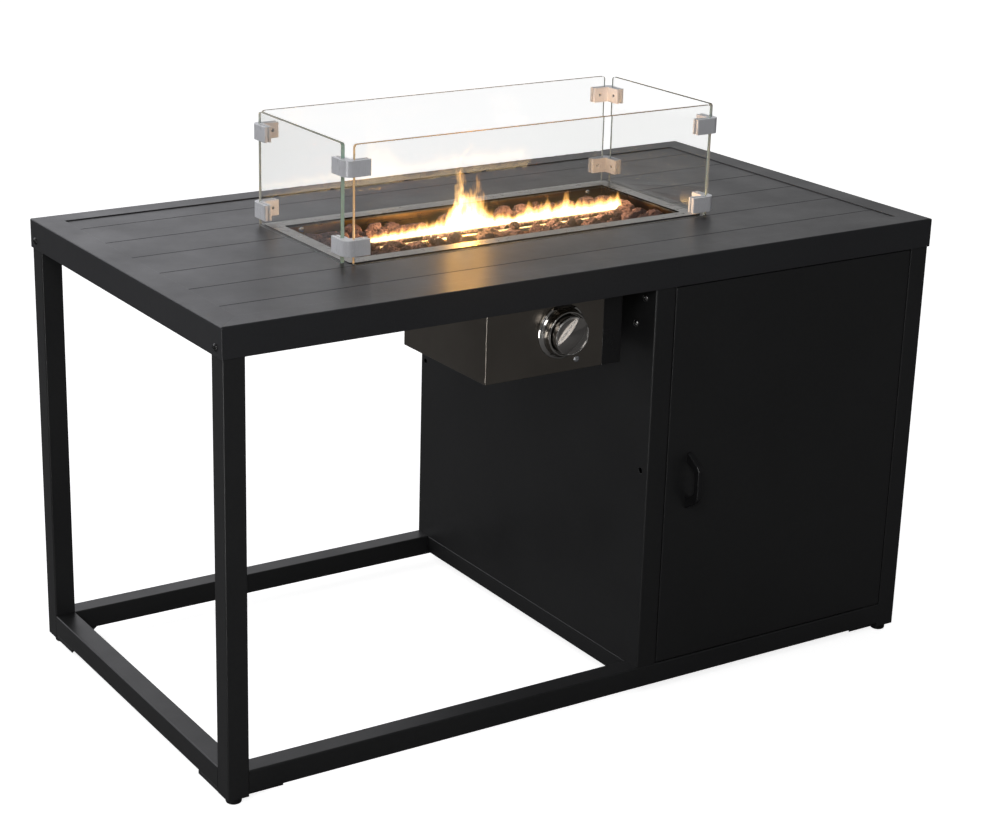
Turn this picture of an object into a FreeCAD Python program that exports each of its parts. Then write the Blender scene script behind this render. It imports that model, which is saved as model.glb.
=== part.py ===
import FreeCAD, Part
import math
import os
from FreeCAD import Vector as V

# Fire pit table: a welded tube frame with a slatted top, a rectangular gas
# burner let into the top, a glass wind guard round the flames, a hanging
# control box with one knob, and a gas bottle cabinet with a hinged door.
#
# Everything is first laid out about the centre of the table top:
# +X to the right along the table, -Y to the front (door and knob side),
# +Z up, with the feet's undersides at z = FLOOR.  A last shift lifts the model
# onto z = 0 and moves it along Y by YS, so that the origin is the middle of
# the whole object's footprint, handle included.

os.makedirs("parts", exist_ok=True)

# ----------------------------------------------------------------- dimensions
L = 1203.4            # length of the top
D = 634.6             # depth of the top
H = 680.0             # level of the top's border frame
FLOOR = -3.0          # level of the floor under the feet
SKIRT = 43.4          # height of the folded-down edge
SHEET = 1.5           # sheet of the edge profiles and panels
BORDER = 38.0         # width of the long border profiles seen from above
BORDER_X = 39.7       # width of the two short ones
RECESS = 1.5          # how far the slats lie below the border

TUBE = 32.6           # square tube of the legs
WALL = 1.6            # tube wall
SET_IN = 1.8          # legs stand this far inside the skirt
LEG_Z0 = 8.0          # underside of the legs and corner plates
RAIL_Z0 = 13.5        # underside of the base rails
RAIL_H = 33.1         # height of the base rails
MID_RAIL_H = 29.1     # height of the rail under the cabinet side
TOPRAIL_Z0 = 638.5    # underside of the hidden top rails
TOPRAIL_Z1 = 666.5    # top of legs and top rails; the slats lie on it

N_SLATS = 7
PITCH = 90.8          # slat pitch
GROOVE = 0.8          # gap between slats
SLAT_X = 580.0
SLAT_Y = 300.0

CAB_X0 = 84.4         # outer face of the cabinet's left side
POST_X1 = 118.0       # right edge of the cabinet's front post face
DOOR_X0, DOOR_X1 = 120.0, 565.1
DOOR_Z0, DOOR_Z1 = 48.6, 634.6
DOOR_T = 18.0         # depth of the folded door
DOOR_SHEET = 1.2
PIN_X = DOOR_X1 - 8.5 # hinge axis
PIN_IN = 5.0          # hinge axis behind the door face
PIN_R = 2.5
PIN_CLR = 0.05

BX, BY = 0.0, 0.0     # middle of burner and wind guard
TRAY_IX, TRAY_IY = 285.5, 101.5    # half size of the tray's opening
TRAY_FLX, TRAY_FLY = 21.5, 23.5    # flange width at the ends and sides
TRAY_SHEET = 1.5
BURNER_R = 9.0
BURNER_HALF = 235.0

GLASS_T = 6.0
GLASS_H = 170.0
GUARD_X, GUARD_Y = 318.0, 135.0    # half size outside of the glass
# The panes are set by hand: at each corner (side of X, side of Y) the long
# and the short pane end this far inside the corner, and the lower and upper
# clamp stand this far above the panes' lower edge.
GUARD_CORNERS = {(-1, -1): (12.5, 17.0, 13.5, 125.7), (1, -1): (9.0, 7.5, 7.0, 127.0),
                 (-1, 1): (8.8, 8.0, 12.5, 129.0), (1, 1): (13.0, 14.0, 16.0, 130.0)}
CLAMP_W = 36.0        # clamp wing length from the guard's corner
CLAMP_H = 23.0
CLAMP_OUT = 5.0       # outer plate
CLAMP_IN = 4.0        # inner plate
CLAMP_SLOT = 6.6

BOX_X0, BOX_X1 = -181.6, 49.0      # hanging control box
BOX_SPLIT = 16.0                   # bright part ends, dark end cover begins
BOX_Y0, BOX_Y1 = -284.0, -66.0
BOX_Z0 = 526.5
BOX_SHEET = 1.2
INLET_DX = 17.0       # the gas inlet lies this far right of the knob's axis
HOSE_HOLE_Y = 10.0    # hole in the cabinet's side for the gas hose

KNOB_X, KNOB_Z = -55.3, 587.0
KNOB_R = 28.0
KNOB_FACE = -318.0     # crown of the knob's domed face
KNOB_DOME = 7.0        # rise of the dome over its rim
KNOB_DEPTH = 24.0
BAR_HALF = 10.8       # half width of the knob's grip bar
POCKET = 8.6          # depth of the two hollows beside the bar
KNOB_TILT = 46.5      # direction of the grip bar, from +X towards +Z
SPINDLE_R = 4.0
PLUNGER_R = 2.5

HANDLE_X = 161.0
HANDLE_Z0, HANDLE_Z1 = 292.0, 378.0
HANDLE_OUT = 29.0
HANDLE_W = 9.0

BOLT_HEAD = 2.8       # height of the button heads on the skirt

X_OUT = L / 2 - SET_IN            # outer faces of the legs
Y_OUT = D / 2 - SET_IN
Z_SLAT = H - RECESS

# the handle stands furthest forward, the skirt furthest back
Y_FRONT = -(Y_OUT + HANDLE_OUT)
Y_BACK = D / 2
YS = -(Y_FRONT + Y_BACK) / 2

EX, EY, EZ = V(1, 0, 0), V(0, 1, 0), V(0, 0, 1)
made = []


# -------------------------------------------------------------------- helpers
def box(x0, y0, z0, x1, y1, z1):
    x0, x1 = sorted((x0, x1))
    y0, y1 = sorted((y0, y1))
    z0, z1 = sorted((z0, z1))
    return Part.makeBox(x1 - x0, y1 - y0, z1 - z0, V(x0, y0, z0))


def cyl(r, p, d, h):
    return Part.makeCylinder(r, h, V(*p), d)


def edges_along(shape, axis, test=None):
    out = []
    for e in shape.Edges:
        if len(e.Vertexes) != 2:
            continue
        a, b = e.Vertexes[0].Point, e.Vertexes[1].Point
        d = b - a
        if d.Length < 1e-6:
            continue
        if abs(abs(d.dot(axis)) - d.Length) < 1e-6 and abs(e.Length - d.Length) < 1e-6:
            if test is None or test((a + b) * 0.5):
                out.append(e)
    return out


def rounded(shape, r, edges):
    return shape.makeFillet(r, edges) if edges else shape


def rbox(x0, y0, z0, x1, y1, z1, r, axis):
    s = box(x0, y0, z0, x1, y1, z1)
    return rounded(s, r, edges_along(s, axis))


def tube_between(x0, y0, z0, x1, y1, z1, axis, wall=WALL, r=2.0):
    # rectangular hollow section filling the box, open at both ends
    s = rbox(x0, y0, z0, x1, y1, z1, r, axis)
    k = [wall if abs(axis.dot(a)) < 0.5 else -1.0 for a in (EX, EY, EZ)]
    i = rbox(min(x0, x1) + k[0], min(y0, y1) + k[1], min(z0, z1) + k[2],
             max(x0, x1) - k[0], max(y0, y1) - k[1], max(z0, z1) - k[2],
             max(r - wall, 0.6), axis)
    return s.cut(i)


def prism(points, z0, z1):
    w = Part.makePolygon([V(x, y, z0) for x, y in points] + [V(points[0][0], points[0][1], z0)])
    return Part.Face(w).extrude(V(0, 0, z1 - z0))


def mirror_x(shape, x=0.0):
    return shape.mirror(V(x, 0, 0), EX)


def mirror_y(shape, y=0.0):
    return shape.mirror(V(0, y, 0), EY)


def revolve(points, origin, axis, ref):
    # profile points are (distance from axis, distance along axis)
    pts = [V(*origin) + ref * r + axis * h for r, h in points]
    w = Part.makePolygon(pts + [pts[0]])
    return Part.Face(w).revolve(V(*origin), axis, 360)


def hexagon(p, axis, ref, af, h):
    # hexagonal prism, af across the flats
    side = axis.cross(ref)
    r = af / math.sqrt(3)
    pts = [V(*p) + ref * (r * math.cos(math.radians(60 * i))) +
           side * (r * math.sin(math.radians(60 * i))) for i in range(6)]
    return Part.Face(Part.makePolygon(pts + [pts[0]])).extrude(axis * h)


def group(shapes):
    out = []
    for s in shapes:
        out.extend(s.Solids)
    return Part.makeCompound(out)


def put(name, shape):
    if isinstance(shape, (list, tuple)):
        shape = group(shape)
    solids = shape.Solids
    assert solids, name
    for s in solids:
        assert s.isValid() and s.Volume > 0, name
    shape = solids[0].copy() if len(solids) == 1 else Part.makeCompound([s.copy() for s in solids])
    shape.translate(V(0, YS, -FLOOR))
    shape.exportStep("parts/%s.step" % name)
    b = shape.BoundBox
    made.append((name, len(solids), b, shape.Volume))


# ---------------------------------------------------------------- tube frame
# Leg: square tube with a welded end plate, bored for the levelling foot's
# stud; a clearance hole in the outer wall takes the bolt through the skirt.
BOLT_Y, BOLT_Z = Y_OUT - TUBE / 2, 649.0
BOLT_R = 3.0


def leg(sx, sy):
    x0, x1 = sx * (X_OUT - TUBE), sx * X_OUT
    y0, y1 = sy * (Y_OUT - TUBE), sy * Y_OUT
    s = tube_between(x0, y0, LEG_Z0, x1, y1, TOPRAIL_Z1, EZ)
    plate = rbox(x0 + sx * 0.8, y0 + sy * 0.8, LEG_Z0, x1 - sx * 0.8, y1 - sy * 0.8, LEG_Z0 + 4.0, 1.2, EZ)
    s = s.fuse(plate).removeSplitter()
    cx, cy = (x0 + x1) / 2, (y0 + y1) / 2
    s = s.cut(cyl(4.05, (cx, cy, LEG_Z0 - 1), EZ, 8))
    s = s.cut(cyl(BOLT_R + 0.2, (x1 - sx * 4, sy * BOLT_Y, BOLT_Z), EX * sx, 8))
    return s


for nm, sx, sy in (("front_left", -1, -1), ("front_right", 1, -1), ("rear_left", -1, 1), ("rear_right", 1, 1)):
    put("leg_" + nm, leg(sx, sy))

# Base rails butt between the legs.
xi, yi = X_OUT - TUBE, Y_OUT - TUBE
z0, z1 = RAIL_Z0, RAIL_Z0 + RAIL_H
RAIL_TOP = z1
put("base_rail_front", tube_between(-xi, -Y_OUT, z0, xi, -yi, z1, EX))
put("base_rail_rear", tube_between(-xi, yi, z0, xi, Y_OUT, z1, EX))
put("base_rail_left", tube_between(-X_OUT, -yi, z0, -xi, yi, z1, EY))
put("base_rail_right", tube_between(xi, -yi, z0, X_OUT, yi, z1, EY))
put("base_rail_middle", tube_between(CAB_X0, -yi, z1 - MID_RAIL_H, CAB_X0 + TUBE, yi, z1, EY))

# Top rails, hidden behind the skirt.
put("top_rail_front", tube_between(-xi, -Y_OUT, TOPRAIL_Z0, xi, -yi, TOPRAIL_Z1, EX))
put("top_rail_rear", tube_between(-xi, yi, TOPRAIL_Z0, xi, Y_OUT, TOPRAIL_Z1, EX))
put("top_rail_left", tube_between(-X_OUT, -yi, TOPRAIL_Z0, -xi, yi, TOPRAIL_Z1, EY))
put("top_rail_right", tube_between(xi, -yi, TOPRAIL_Z0, X_OUT, yi, TOPRAIL_Z1, EY))
# Two cross rails either side of the burner carry the cut slats.
put("burner_support_rails", [
    tube_between(BX - 301 - TUBE, -yi, TOPRAIL_Z0, BX - 301, yi, TOPRAIL_Z1, EY),
    tube_between(BX + 301, -yi, TOPRAIL_Z0, BX + 301 + TUBE, yi, TOPRAIL_Z1, EY)])

# Gussets welded under the four corners of the base, notched round the legs.
a1, off_x, off_y = 93.4, 0.5, 6.0
gusset = [(TUBE, off_y), (a1 - off_y, off_y), (off_x, a1 - off_x), (off_x, TUBE), (TUBE, TUBE)]


def corner_plate(sx, sy):
    pts = [(sx * (X_OUT - a), sy * (Y_OUT - b)) for a, b in gusset]
    return prism(pts, LEG_Z0, RAIL_Z0)


put("corner_plates", [corner_plate(sx, sy) for sx in (-1, 1) for sy in (-1, 1)])


# Levelling feet: a moulded disc on a stud that screws into the leg.
def foot(sx, sy):
    c = (sx * (X_OUT - TUBE / 2), sy * (Y_OUT - TUBE / 2), FLOOR)
    prof = [(0, 0), (9.4, 0), (10.8, 1.0), (11.3, 2.6), (11.3, 9.2), (10.5, 10.2), (4.0, 10.2),
            (4.0, 30.0), (3.2, 31.0), (0, 31.0)]
    return revolve(prof, c, EZ, EX)


for nm, sx, sy in (("front_left", -1, -1), ("front_right", 1, -1), ("rear_left", -1, 1), ("rear_right", 1, 1)):
    put("levelling_foot_" + nm, foot(sx, sy))


# ----------------------------------------------------------------- table top
# Edge profile: an angle with its flange on top and the skirt outside,
# mitred at the corners.
def angle_profile(length, depth, width):
    # runs along X, outer face at y = -depth
    s = box(-length, -depth, H - SHEET, length, -depth + width, H)
    k = box(-length, -depth, H - SKIRT, length, -depth + SHEET, H)
    s = s.fuse(k).removeSplitter()
    s = rounded(s, 1.9, edges_along(s, EX, lambda m: abs(m.y + depth) < 0.01 and abs(m.z - H) < 0.01))
    s = rounded(s, 0.5, edges_along(s, EX, lambda m: abs(m.y + depth - width) < 0.01 and abs(m.z - H) < 0.01))
    return s


def mitre(length, depth, width, other):
    a, b = other * 1.1, width * 1.1
    p = [(-length, -depth), (length, -depth), (length - a, -depth + b), (-length + a, -depth + b)]
    return prism(p, H - SKIRT - 5, H + 5)


front = angle_profile(L / 2, D / 2, BORDER).common(mitre(L / 2, D / 2, BORDER, BORDER_X))
put("table_edge_front", front)
put("table_edge_rear", mirror_y(front))
side = angle_profile(D / 2, L / 2, BORDER_X).common(mitre(D / 2, L / 2, BORDER_X, BORDER))
side.rotate(V(0, 0, 0), EZ, -90)          # outer face now at x = -L/2
for sy in (-1, 1):
    side = side.cut(cyl(BOLT_R + 0.2, (-L / 2 - 2, sy * BOLT_Y, BOLT_Z), EX, 8))
put("table_edge_left", side)
put("table_edge_right", mirror_x(side))

# Slats: inverted channels resting on the rails.
CUT_X, CUT_Y = TRAY_IX + 5.5, TRAY_IY + 5.5


def slat(y0, y1, x0=-SLAT_X, x1=SLAT_X):
    s = box(x0, y0, TOPRAIL_Z1, x1, y1, Z_SLAT)
    s = rounded(s, 0.7, edges_along(s, EX, lambda m: m.z > Z_SLAT - 0.01))
    return s.cut(box(x0 - 1, y0 + 1.5, TOPRAIL_Z1 - 1, x1 + 1, y1 - 1.5, Z_SLAT - 1.5))


lines = [(i - (N_SLATS - 2) / 2.0) * PITCH for i in range(N_SLATS - 1)]
bounds = [-SLAT_Y] + lines + [SLAT_Y]
hole = box(BX - CUT_X, BY - CUT_Y, TOPRAIL_Z1 - 5, BX + CUT_X, BY + CUT_Y, Z_SLAT + 5)
for i in range(N_SLATS):
    ya = bounds[i] + (GROOVE / 2 if i > 0 else 0)
    yb = bounds[i + 1] - (GROOVE / 2 if i < N_SLATS - 1 else 0)
    s = slat(ya, yb)
    if ya < BY + CUT_Y and yb > BY - CUT_Y:
        s = s.cut(hole)
    put("slat_%d" % (i + 1), s)

# -------------------------------------------------------------------- cabinet
# Left side: one folded sheet; its front fold is the post face beside the
# door.  Two small fixing holes at mid height, and a hose hole behind the box.
t = SHEET
zc0, zc1 = RAIL_TOP, TOPRAIL_Z0
s = box(CAB_X0, -Y_OUT, zc0, POST_X1, Y_OUT, zc1)
s = rounded(s, 3.0, edges_along(s, EZ, lambda m: m.x < CAB_X0 + 0.01))
s = s.cut(rbox(CAB_X0 + t, -Y_OUT + t, zc0 - 1, POST_X1 + 40, Y_OUT - t, zc1 + 1, 1.6, EZ))
s = s.fuse(box(POST_X1 - t, -Y_OUT + 0.5, zc0, POST_X1, -284.5, zc1)).removeSplitter()
s = rounded(s, 1.0, edges_along(s, EZ, lambda m: abs(m.x - POST_X1) < 0.01 and abs(m.y + Y_OUT) < 0.01))
s = s.cut(box(POST_X1 - 10, Y_OUT - 5, zc0 - 1, POST_X1 + 5, Y_OUT + 5, zc1 + 1))
PANEL_BOLTS = [(-290.0, 618.0), (-270.4, 575.4)]
for y, z in ((-298.5, 358.5), (301.5, 357.5)):
    s = s.cut(cyl(4.2, (CAB_X0 - 2, y, z), EX, 6))
for y, z in PANEL_BOLTS:
    s = s.cut(cyl(3.2, (CAB_X0 - 2, y, z), EX, 6))
s = s.cut(cyl(13.0, (CAB_X0 - 2, HOSE_HOLE_Y, KNOB_Z), EX, 6))
put("cabinet_panel_left", s)


def pan_x(x, y0, y1, z0, z1, depth, t):
    # tray-like panel: flat face at x, returns pointing to -X
    s = box(x - depth, y0, z0, x, y1, z1)
    s = s.cut(box(x - depth - 1, y0 + t, z0 + t, x - t, y1 - t, z1 - t))
    return rounded(s, 1.0, [e for e in s.Edges if abs(e.CenterOfMass.x - x) < 0.01 and e.Length > 100])


# Right side: shallow pan between the right legs.
put("cabinet_panel_right", pan_x(X_OUT - 1.5, -yi, yi, RAIL_TOP, TOPRAIL_Z0, 16.0, t))

# Back: the same, with two rows of vent slots.
rx0, rx1 = POST_X1 - 9.5, xi
s = pan_x(Y_OUT - 1.5, -rx1, -rx0, RAIL_TOP, TOPRAIL_Z0, 16.0, t)
s.rotate(V(0, 0, 0), EZ, 90)
vents = []
for row_z in (92.0, 576.0):
    for i in range(9):
        x = rx0 + 50 + i * (rx1 - rx0 - 100) / 8.0
        for k in range(3):
            v = box(x - 17, Y_OUT - 12, row_z + k * 13.0, x + 17, Y_OUT + 3, row_z + k * 13.0 + 5.0)
            vents.append(rounded(v, 2.4, edges_along(v, EY)))
s = s.cut(Part.makeCompound(vents))
put("cabinet_panel_rear", s)

# Floor sheet, notched round the right legs, with a rear upstand.
s = box(CAB_X0 + 3.0, -292.0, RAIL_TOP, X_OUT - 20.0, Y_OUT - 19.0, RAIL_TOP + t)
s = s.fuse(box(CAB_X0 + 3.0, Y_OUT - 19.0 - t, RAIL_TOP, X_OUT - 20.0, Y_OUT - 19.0, RAIL_TOP + 14)).removeSplitter()
s = s.cut(box(xi - 1.5, -400, RAIL_TOP - 1, X_OUT + 5, -yi + 1.5, RAIL_TOP + 30))
s = s.cut(box(xi - 1.5, yi - 1.5, RAIL_TOP - 1, X_OUT + 5, 400, RAIL_TOP + 30))
s = s.cut(box(CAB_X0, -300, RAIL_TOP - 1, POST_X1 + 1.0, -283.5, RAIL_TOP + 30))
put("cabinet_floor", s)

# ----------------------------------------------------------------------- door
# Folded pan with a back lip down each long edge.  The hinge pins go through
# the top and bottom folds near the right-hand edge.
dt = DOOR_SHEET
yf = -Y_OUT
s = box(DOOR_X0, yf, DOOR_Z0, DOOR_X1, yf + DOOR_T, DOOR_Z1)
front_edges = [e for e in s.Edges if abs(e.CenterOfMass.y - yf) < 0.01]
s = s.makeFillet(1.4, front_edges)
s = s.cut(box(DOOR_X0 + dt, yf + dt, DOOR_Z0 + dt, DOOR_X1 - dt, yf + DOOR_T + 1, DOOR_Z1 - dt))
for xa, xb in ((DOOR_X0 + 0.4, DOOR_X0 + 15.0), (DOOR_X1 - 15.0, DOOR_X1 - 0.4)):
    s = s.fuse(box(xa, yf + DOOR_T - dt, DOOR_Z0 + 0.4, xb, yf + DOOR_T, DOOR_Z1 - 0.4))
s = s.removeSplitter()
PIN_Y = yf + PIN_IN
s = s.cut(cyl(PIN_R + PIN_CLR, (PIN_X, PIN_Y, DOOR_Z1 - 5), EZ, 10))
s = s.cut(cyl(PIN_R + PIN_CLR, (PIN_X, PIN_Y, DOOR_Z0 - 5), EZ, 10))
HS_Z = (HANDLE_Z0 + 8.5, HANDLE_Z1 - 8.5)
for z in HS_Z:
    s = s.cut(cyl(2.3, (HANDLE_X, yf - 1, z), EY, 4))
put("door_panel", s)

# Pivot plates with their pins: one under the top rail, one on the base rail.
top_pivot = rbox(PIN_X - 22, PIN_Y - 3.6, DOOR_Z1 + 2.0, PIN_X + 9, PIN_Y + 14, TOPRAIL_Z0, 2.0, EZ)
top_pivot = top_pivot.fuse(cyl(PIN_R, (PIN_X, PIN_Y, DOOR_Z1 - 10), EZ, 13)).removeSplitter()
low_pivot = rbox(PIN_X - 22, PIN_Y - 3.6, RAIL_TOP, PIN_X + 9, PIN_Y + 14, RAIL_TOP + 1.4, 2.0, EZ)
low_pivot = low_pivot.fuse(cyl(PIN_R, (PIN_X, PIN_Y, RAIL_TOP + 0.5), EZ, 13))
low_pivot = low_pivot.fuse(cyl(4.6, (PIN_X, PIN_Y, RAIL_TOP + 0.5), EZ, DOOR_Z0 - RAIL_TOP - 0.5)).removeSplitter()
put("hinge_pivots", [top_pivot, low_pivot])

# Magnetic catch on the post's inner fold; the door's lip closes on it.
s = rbox(POST_X1, yf + DOOR_T + 0.3, 318.0, POST_X1 + 15.0, -284.5, 364.0, 1.5, EX)
put("door_magnet", s)


# Bow handle, cut from a 9 mm wide bar, with slanted arms.
def ypoint(d, z):
    return V(HANDLE_X - HANDLE_W / 2, yf - d, z)


zc = (HANDLE_Z0 + HANDLE_Z1) / 2
hh = (HANDLE_Z1 - HANDLE_Z0) / 2
o = HANDLE_OUT
outer = [(0, -hh), (2.5, -hh), (o - 5.0, -hh + 14.0), (o, -hh + 21.0), (o, hh - 21.0), (o - 5.0, hh - 14.0),
         (2.5, hh), (0, hh)]
inner = [(0, hh - 16.0), (o - 14.5, hh - 24.5), (o - 10.5, hh - 30.0), (o - 10.5, -hh + 30.0),
         (o - 14.5, -hh + 24.5), (0, -hh + 16.0)]
pts = [ypoint(d, zc + z) for d, z in outer + inner]
s = Part.Face(Part.makePolygon(pts + [pts[0]])).extrude(V(HANDLE_W, 0, 0))
bend = edges_along(s, EX, lambda m: yf - m.y > 10)
s = s.makeFillet(2.5, bend)
rim = [e for e in s.Edges if abs(abs(e.CenterOfMass.x - HANDLE_X) - HANDLE_W / 2) < 0.01
       and yf - e.CenterOfMass.y > 0.3]
s = s.makeFillet(1.8, rim)
for z in HS_Z:
    s = s.cut(cyl(1.9, (HANDLE_X, yf - 9, z), EY, 10))
put("door_handle", s)


# Handle screws from inside the door.
def handle_screw(z):
    a = cyl(1.85, (HANDLE_X, yf - 8.5, z), EY, 8.5 + dt + 1)
    b = cyl(3.8, (HANDLE_X, yf + dt, z), EY, 2.4)
    b = b.makeFillet(1.0, [e for e in b.Edges if abs(e.CenterOfMass.y - (yf + dt + 2.4)) < 0.01
                           and e.Length > 10])
    b = b.cut(box(HANDLE_X - 2.6, yf + dt + 1.5, z - 0.5, HANDLE_X + 2.6, yf + dt + 3, z + 0.5))
    return a.fuse(b).removeSplitter()


put("handle_screws", [handle_screw(z) for z in HS_Z])

# --------------------------------------------------------------------- burner
# Pressed tray: flange on the slats, straight walls, flat floor.
ox, oy = TRAY_IX + TRAY_SHEET, TRAY_IY + TRAY_SHEET
TRAY_Z0 = TOPRAIL_Z0
fl = rbox(BX - TRAY_IX - TRAY_FLX, BY - TRAY_IY - TRAY_FLY, Z_SLAT,
          BX + TRAY_IX + TRAY_FLX, BY + TRAY_IY + TRAY_FLY, Z_SLAT + TRAY_SHEET, 3.0, EZ)
fl = rounded(fl, 0.6, [e for e in fl.Edges if abs(e.CenterOfMass.z - Z_SLAT - TRAY_SHEET) < 0.01])
pan = rbox(BX - ox, BY - oy, TRAY_Z0, BX + ox, BY + oy, Z_SLAT + 0.5, 4.5, EZ)
s = fl.fuse(pan).removeSplitter()
s = s.cut(rbox(BX - TRAY_IX, BY - TRAY_IY, TRAY_Z0 + TRAY_SHEET, BX + TRAY_IX, BY + TRAY_IY, H + 5, 3.0, EZ))
s = rounded(s, 0.5, [e for e in s.Edges if abs(e.CenterOfMass.z - Z_SLAT - TRAY_SHEET) < 0.01
                     and abs(e.CenterOfMass.x - BX) < TRAY_IX + 1 and abs(e.CenterOfMass.y - BY) < TRAY_IY + 1])
TRAY_SCREWS = [(BX + sx * 257.0, sy) for sx in (-1, 1) for sy in (-1, 1)]
for x, sy in TRAY_SCREWS:
    s = s.cut(cyl(2.6, (x, BY + sy * (TRAY_IY - 2), 671.0), EY * sy, 8))
SPUD_X = KNOB_X
s = s.cut(cyl(8.3, (SPUD_X, BY, TRAY_Z0 - 2), EZ, 6))
PROBES = [(SPUD_X - 34.0, BY + 15.5), (SPUD_X - 22.0, BY + 15.5)]
for x, y in PROBES:
    s = s.cut(cyl(3.4, (x, y, TRAY_Z0 - 2), EZ, 6))
for x in (-240.0, -120.0, 120.0, 240.0):
    s = s.cut(cyl(5.0, (BX + x, BY + 62.0, TRAY_Z0 - 2), EZ, 6))
put("burner_tray", s)

# Burner pipe with a row of flame ports, closed ends and a threaded spud.
bz = TRAY_Z0 + TRAY_SHEET + 2.0 + BURNER_R
s = cyl(BURNER_R, (BX - BURNER_HALF, BY, bz), EX, 2 * BURNER_HALF)
s = s.makeFillet(2.0, [e for e in s.Edges if e.Length < 2 * BURNER_HALF - 1 and e.Length > 20])
s = s.cut(cyl(BURNER_R - 1.5, (BX - BURNER_HALF + 3, BY, bz), EX, 2 * BURNER_HALF - 6))
s = s.fuse(cyl(7.8, (SPUD_X, BY, 620.0), EZ, bz - BURNER_R - 620.0 + 1.0))
s = s.fuse(hexagon((SPUD_X, BY, TRAY_Z0 - 8.0), EZ, EX, 22.0, 8.0))
s = s.fuse(cyl(11.0, (SPUD_X, BY, TRAY_Z0 + TRAY_SHEET), EZ, 4.0)).removeSplitter()
s = s.cut(cyl(5.2, (SPUD_X, BY, 612.0), EZ, 14))
s = s.cut(cyl(3.4, (SPUD_X, BY, 624.0), EZ, bz - 624.0))
ports = [cyl(1.6, (BX + x, BY, bz), EZ, BURNER_R + 2) for x in range(-224, 225, 16)]
s = s.cut(Part.makeCompound(ports))
put("burner_pipe", s)


# Lava rocks: loose lumps round the pipe, each its own faceted solid.
def rock(cx, cy, r, seed):
    g = (1 + 5 ** 0.5) / 2
    vs = []
    for a in (-1, 1):
        for b in (-g, g):
            vs += [(0, a, b), (a, b, 0), (b, 0, a)]
    n = math.sqrt(1 + g * g)
    state = seed * 2654435761 % 4294967296
    pts = []
    for v in vs:
        state = (state * 1664525 + 1013904223) % 4294967296
        k = r / n * (0.80 + 0.20 * state / 4294967296.0)
        pts.append(V(v[0] * k, v[1] * k, v[2] * k))
    faces = []
    for i in range(12):
        for j in range(i + 1, 12):
            for m in range(j + 1, 12):
                d = [math.dist(vs[p], vs[q]) for p, q in ((i, j), (j, m), (i, m))]
                if max(d) < 2.01:
                    faces.append(Part.Face(Part.makePolygon([pts[i], pts[j], pts[m], pts[i]])))
    sol = Part.Solid(Part.Shell(faces))
    if sol.Volume < 0:
        sol.reverse()
    sol.rotate(V(0, 0, 0), V(0.3, 0.5, 0.8), (seed * 47) % 360)
    low = sol.BoundBox.ZMin
    sol.translate(V(cx, cy, TRAY_Z0 + TRAY_SHEET + 0.2 - low))
    return sol


rocks = []
k = 0
for row, y in enumerate((-82.0, -46.0, 48.0, 82.0)):
    for i in range(14):
        k += 1
        x = -260.0 + i * 40.0 + (6.0 if row % 2 else -6.0)
        r = 15.0 + (k * 7 % 5) * 0.55
        if abs(abs(y) - 82.0) < 1 and r > 17.0:
            r = 17.0
        if abs(abs(x) - 257.0) < 14 and abs(y) > 70:
            r = 13.5
        rocks.append(rock(BX + x, BY + y, r, k))
put("lava_rocks", rocks)

# Spark electrode in its ceramic sleeve, and the flame sensor beside it.
(x, y), (x2, y2) = PROBES
e = cyl(3.2, (x, y, 622.0), EZ, 32.0).fuse(cyl(1.2, (x, y, 612.0), EZ, 50.0)).removeSplitter()
c = cyl(2.4, (x2, y2, 618.0), EZ, 40.0)
c = c.makeFillet(1.6, [q for q in c.Edges if abs(q.CenterOfMass.z - 658.0) < 0.01])
c = c.fuse(hexagon((x2, y2, TRAY_Z0 - 7.0), EZ, EX, 9.0, 7.0)).removeSplitter()
put("pilot_probes", [e, c])

# ------------------------------------------------------- control box and valve
q = BOX_SHEET
TOP = TOPRAIL_Z0
PIPE_Z = 590.0                     # height of the gas pipe where it leaves the box
s = box(BOX_X0, BOX_Y0, BOX_Z0, BOX_SPLIT, BOX_Y1, TOP)
s = rounded(s, 1.4, edges_along(s, EZ, lambda m: m.x < BOX_X0 + 1))
s = rounded(s, 1.0, [e for e in s.Edges if abs(e.CenterOfMass.z - BOX_Z0) < 0.01 and e.Length > 20
                     and e.CenterOfMass.x < BOX_SPLIT - 1])
s = s.cut(box(BOX_X0 + q, BOX_Y0 + q, BOX_Z0 + q, BOX_SPLIT + 5, BOX_Y1 - q, TOP + 5))
s = s.fuse(box(BOX_X0 + 3, BOX_Y0 - 16, TOP - q, BOX_SPLIT, BOX_Y0 + q, TOP))
s = s.fuse(box(BOX_X0 + 3, BOX_Y1 - q, TOP - q, BOX_SPLIT, BOX_Y1 + 16, TOP)).removeSplitter()
s = s.cut(cyl(9.0, (KNOB_X, BOX_Y0 - 3, KNOB_Z), EY, 8))
s = s.cut(cyl(6.5, (KNOB_X, BOX_Y1 - 5, PIPE_Z), EY, 10))
INLET_X = KNOB_X + INLET_DX
s = s.cut(cyl(6.3, (INLET_X, BOX_Y1 - 5, KNOB_Z), EY, 10))
BOX_SCREW = (-28.3, 542.6)
s = s.cut(cyl(2.2, (BOX_SCREW[0], BOX_Y0 - 3, BOX_SCREW[1]), EY, 8))
put("control_box", s)

# Dark end cover closes the right-hand end.
s = box(BOX_SPLIT, BOX_Y0, BOX_Z0, BOX_X1, BOX_Y1, TOP - 0.2)
s = rounded(s, 1.4, edges_along(s, EZ, lambda m: m.x > BOX_X1 - 1))
s = s.cut(box(BOX_SPLIT - 5, BOX_Y0 + q, BOX_Z0 + q, BOX_X1 - q, BOX_Y1 - q, TOP + 5))
put("control_box_end_cover", s)

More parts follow.
